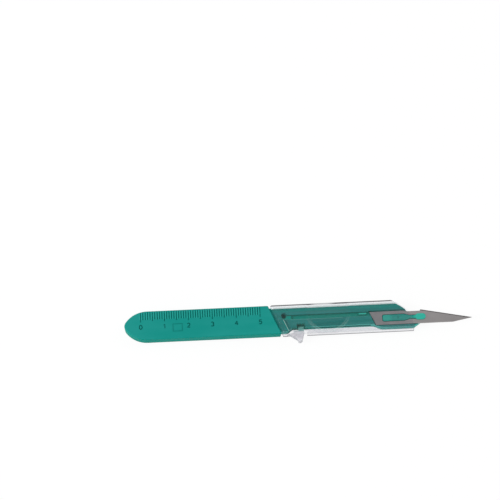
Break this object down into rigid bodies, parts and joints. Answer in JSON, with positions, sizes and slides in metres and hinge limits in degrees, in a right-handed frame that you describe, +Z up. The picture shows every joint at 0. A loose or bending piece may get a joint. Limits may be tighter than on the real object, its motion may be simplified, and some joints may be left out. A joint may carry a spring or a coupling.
{
  "type": "safety scalpel",
  "caption": "Disposable safety scalpel with a ruled plastic handle, a pointed straight-edged blade and a sliding clear guard with a thumb release.",
  "frame": {"origin": "middle of the grip's flat underside, on the surface that the scalpel lies on", "axes": "+X along the scalpel towards the blade's point, +Y across it towards the cutting edge, +Z up"},
  "size_m": [0.1457, 0.016, 0.0056],
  "materials": {
    "handle_plastic": "moulded green, satin",
    "blade_steel": "ground stainless steel",
    "clear_plastic": "clear moulded plastic",
    "frosted_plastic": "frosted clear plastic"
  },
  "bodies": {
    "handle": {"handle": "handle_plastic", "blade": "blade_steel"},
    "shield": {"shield": "clear_plastic"},
    "release_button": {"release_button": "frosted_plastic"}
  },
  "joints": [
    {"name": "shield_slide", "type": "slide", "parent": "handle", "child": "shield", "axis": [1, 0, 0], "range_m": [0, 0.028]},
    {"name": "button_press", "type": "hinge", "parent": "shield", "child": "release_button", "pos_m": [0.03655, -0.00613, 0.0021], "axis": [0, 0, 1], "range_deg": [0, 6], "stiffness_Nm_per_rad": 0.1}
  ]
}
